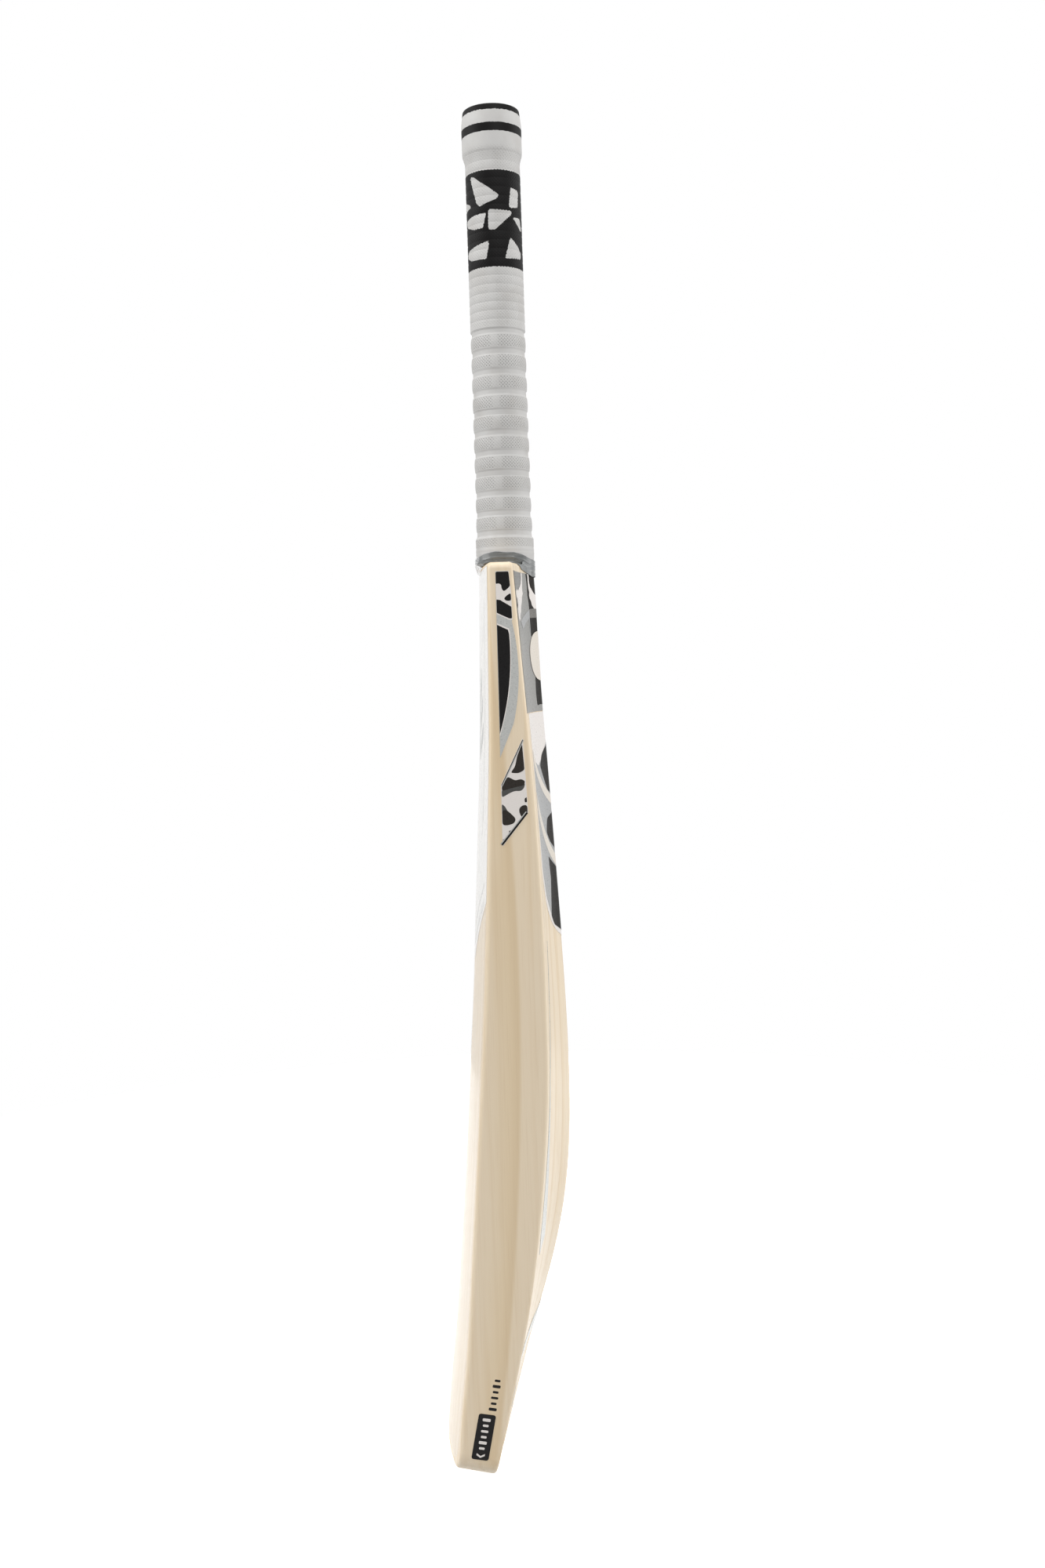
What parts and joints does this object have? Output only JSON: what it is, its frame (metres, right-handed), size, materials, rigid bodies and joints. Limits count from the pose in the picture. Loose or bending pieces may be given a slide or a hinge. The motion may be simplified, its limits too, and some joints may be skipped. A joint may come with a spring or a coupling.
{
  "type": "cricket bat",
  "caption": "Cricket bat: ridged willow blade with a bowed face, spliced cane spring handle in a ring-grooved rubber grip, taped shoulder, printed labels on face, back and edges.",
  "frame": {"origin": "centre of the handle's flat top end", "axes": "+Z along the handle's axis, out of its top end; -Y out of the hitting face, +Y out of the ridged back; X across the blade"},
  "size_m": [0.1084, 0.0872, 0.8537],
  "materials": {
    "willow": "pressed, lightly oiled, satin",
    "cane": "planed and glued",
    "strip_rubber": "matt",
    "twine": "waxed linen thread",
    "grip_rubber": "matt, with knurled bands and a black printed band",
    "vinyl_tape": "smooth vinyl",
    "clear_film": "clear, smooth",
    "face_print": "printed vinyl",
    "edge_print": "printed vinyl",
    "patch_print": "printed vinyl",
    "toe_print": "printed vinyl",
    "back_print_upper": "printed vinyl",
    "back_print_lower": "printed vinyl",
    "silver_print": "printed vinyl"
  },
  "bodies": {
    "root": {"back_chevron": "silver_print", "back_label_lower": "back_print_lower", "back_label_upper": "back_print_upper", "back_stripe_left": "silver_print", "back_stripe_right": "silver_print", "blade": "willow", "cane_a1": "cane", "cane_a2": "cane", "cane_a3": "cane", "cane_b1": "cane", "cane_b2": "cane", "cane_b3": "cane", "cane_c1": "cane", "cane_c2": "cane", "cane_c3": "cane", "cane_d1": "cane", "cane_d2": "cane", "cane_d3": "cane", "edge_label_left": "edge_print", "edge_label_right": "edge_print", "edge_patch_left": "patch_print", "edge_patch_right": "patch_print", "face_film": "clear_film", "face_label": "face_print", "rubber_grip": "grip_rubber", "shoulder_tape": "vinyl_tape", "spring_strip_1": "strip_rubber", "spring_strip_2": "strip_rubber", "spring_strip_3": "strip_rubber", "toe_label_left": "toe_print", "toe_label_right": "toe_print", "twine_binding": "twine"}
  },
  "joints": []
}
